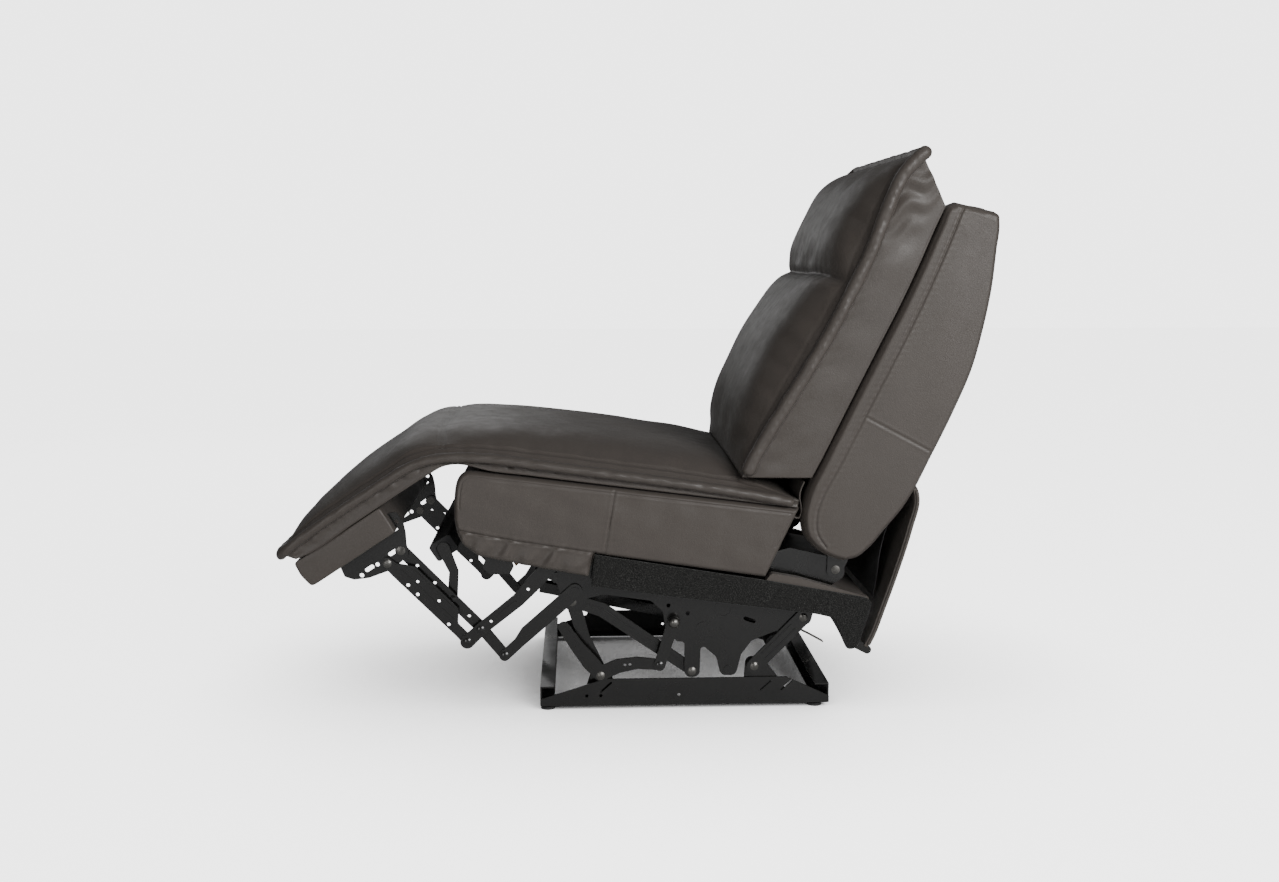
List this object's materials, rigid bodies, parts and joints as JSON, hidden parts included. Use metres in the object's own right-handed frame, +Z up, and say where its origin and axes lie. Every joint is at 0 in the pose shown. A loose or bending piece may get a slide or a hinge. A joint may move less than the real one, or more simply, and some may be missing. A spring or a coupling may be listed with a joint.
{
  "type": "armless recliner",
  "caption": "Armless reclining chair with a long padded chaise seat, a thick split back cushion, a leather covered shell back and a low steel link base.",
  "frame": {"origin": "floor level, midway between the sides and midway between the toe of the footrest and the back of the shell, in the pose pictured", "axes": "+X to the sitter's left, +Y to the rear, +Z up; the chair faces -Y"},
  "size_m": [0.65, 1.3744, 1.0917],
  "materials": {
    "black_steel": "satin",
    "grey_leather": "satin",
    "padded_leather": "satin",
    "plywood": "matte",
    "grey_felt": "matte",
    "black_cloth": "matte",
    "black_plastic": "matte",
    "bare_steel": "satin",
    "foam": "matte"
  },
  "bodies": {
    "base": {"left_base_rail": "black_steel", "right_base_rail": "black_steel", "front_cross_channel": "black_steel", "rear_cross_channel": "black_steel", "base_glides": "black_plastic", "pivot_brackets": "black_steel", "base_pivot_pins": "black_steel"},
    "front_lift": {"front_lift_links": "black_steel"},
    "rear_lift": {"rear_lift_links": "black_steel"},
    "bell_crank": {"bell_cranks": "black_steel"},
    "short_link": {"short_links": "black_steel"},
    "seat": {"left_seat_plate": "black_steel", "right_seat_plate": "black_steel", "tie_links": "black_steel", "seat_pivot_pins": "black_steel", "plate_bolts": "black_steel", "seat_cross_tubes": "black_steel", "seat_side_rails": "plywood", "left_seat_side_cover": "grey_leather", "right_seat_side_cover": "grey_leather", "seat_front_panel": "grey_leather", "seat_bottom_board": "plywood", "seat_front_rail": "black_steel", "spring_boards": "plywood", "seat_springs": "bare_steel", "seat_foam": "foam", "felt_skirts": "grey_felt", "rear_deck": "grey_leather", "panel_hinge_rod": "black_steel", "seat_pad": "padded_leather", "knee_pad": "padded_leather", "back_flap": "grey_leather", "actuator_rail": "black_steel", "lead_screw": "bare_steel", "gear_motor": "black_plastic", "power_socket": "black_plastic", "release_blade": "bare_steel", "actuator_hangers": "black_steel"},
    "footrest": {"leg_pad": "padded_leather", "footrest_board": "grey_leather", "footrest_brackets": "black_steel", "footrest_pins": "black_steel"},
    "main_arm": {"main_arms": "black_steel"},
    "front_strut": {"front_struts": "black_steel"},
    "rear_strut": {"rear_struts": "black_steel"},
    "drive": {"drive_links": "black_steel", "drive_tube": "black_steel"},
    "middle_bar": {"middle_bar": "black_steel", "flipper_links": "black_steel"},
    "back": {"left_back_side": "grey_leather", "right_back_side": "grey_leather", "back_cover": "grey_leather", "back_rails": "plywood", "back_brackets": "black_steel", "lumbar_cushion": "padded_leather", "head_cushion": "padded_leather", "dust_cloth": "black_cloth"},
    "rear_panel": {"rear_panel": "grey_leather"},
    "slide_block": {"slide_block": "black_plastic"}
  },
  "joints": [
    {"name": "seat_lift", "type": "hinge", "parent": "base", "child": "front_lift", "pos_m": [0, -0.0715, 0.071], "axis": [-1, 0, 0], "range_deg": [-11, 8]},
    {"name": "seat_tilt", "type": "hinge", "parent": "front_lift", "child": "seat", "pos_m": [0, -0.127, 0.221], "axis": [-1, 0, 0], "range_deg": [-5.3, 7.1]},
    {"name": "rear_lift", "type": "hinge", "parent": "base", "child": "rear_lift", "pos_m": [0, 0.232, 0.088], "axis": [-1, 0, 0], "range_deg": [-15.02, 11.06]},
    {"name": "bell_crank_swing", "type": "hinge", "parent": "base", "child": "bell_crank", "pos_m": [0, -0.0715, 0.071], "axis": [-1, 0, 0], "range_deg": [-1.46, 1.82]},
    {"name": "short_link_swing", "type": "hinge", "parent": "seat", "child": "short_link", "pos_m": [0, 0.0723, 0.1817], "axis": [-1, 0, 0], "range_deg": [-13.26, 9.78]},
    {"name": "legrest", "type": "hinge", "parent": "seat", "child": "footrest", "pos_m": [0, -0.318, 0.455], "axis": [-1, 0, 0], "range_deg": [-50, 33], "deforming": ["knee_pad"]},
    {"name": "main_arm_swing", "type": "hinge", "parent": "seat", "child": "main_arm", "pos_m": [0, -0.1666, 0.2992], "axis": [-1, 0, 0], "range_deg": [-50.5, 33.5]},
    {"name": "rear_strut_swing", "type": "hinge", "parent": "main_arm", "child": "rear_strut", "pos_m": [0, -0.3046, 0.1717], "axis": [-1, 0, 0], "range_deg": [-33.5, 50.5]},
    {"name": "front_strut_swing", "type": "hinge", "parent": "main_arm", "child": "front_strut", "pos_m": [0, -0.3306, 0.1477], "axis": [-1, 0, 0], "range_deg": [-33.5, 50.5]},
    {"name": "drive_swing", "type": "hinge", "parent": "seat", "child": "drive", "pos_m": [0, -0.1211, 0.2432], "axis": [-1, 0, 0], "range_deg": [-50.5, 33.5]},
    {"name": "middle_bar_swing", "type": "hinge", "parent": "rear_strut", "child": "middle_bar", "pos_m": [0, -0.36001, 0.22872], "axis": [-1, 0, 0], "range_deg": [-25.5, 17]},
    {"name": "back_recline", "type": "hinge", "parent": "seat", "child": "back", "pos_m": [0, 0.39, 0.281], "axis": [-1, 0, 0], "range_deg": [0, 25], "deforming": ["dust_cloth"]},
    {"name": "rear_panel_swing", "type": "hinge", "parent": "seat", "child": "rear_panel", "pos_m": [0, 0.45, 0.127], "axis": [-1, 0, 0], "range_deg": [0, 20.5]},
    {"name": "screw_slide", "type": "slide", "parent": "seat", "child": "slide_block", "axis": [0, 0.9781, -0.2079], "range_m": [-0.03419, 0.05155]}
  ],
  "couplings": [
    {"joint": "seat_tilt", "follows": "seat_lift", "ratio": -0.6},
    {"joint": "rear_lift", "follows": "seat_lift", "ratio": 1.32},
    {"joint": "bell_crank_swing", "follows": "seat_lift", "ratio": -0.12},
    {"joint": "short_link_swing", "follows": "seat_lift", "ratio": 1.16},
    {"joint": "main_arm_swing", "follows": "legrest", "ratio": 1},
    {"joint": "rear_strut_swing", "follows": "legrest", "ratio": -1},
    {"joint": "front_strut_swing", "follows": "legrest", "ratio": -1},
    {"joint": "drive_swing", "follows": "legrest", "ratio": 1},
    {"joint": "middle_bar_swing", "follows": "legrest", "ratio": 0.5},
    {"joint": "rear_panel_swing", "follows": "back_recline", "ratio": 0.8},
    {"joint": "screw_slide", "follows": "legrest", "m_per_rad": -0.058499}
  ]
}
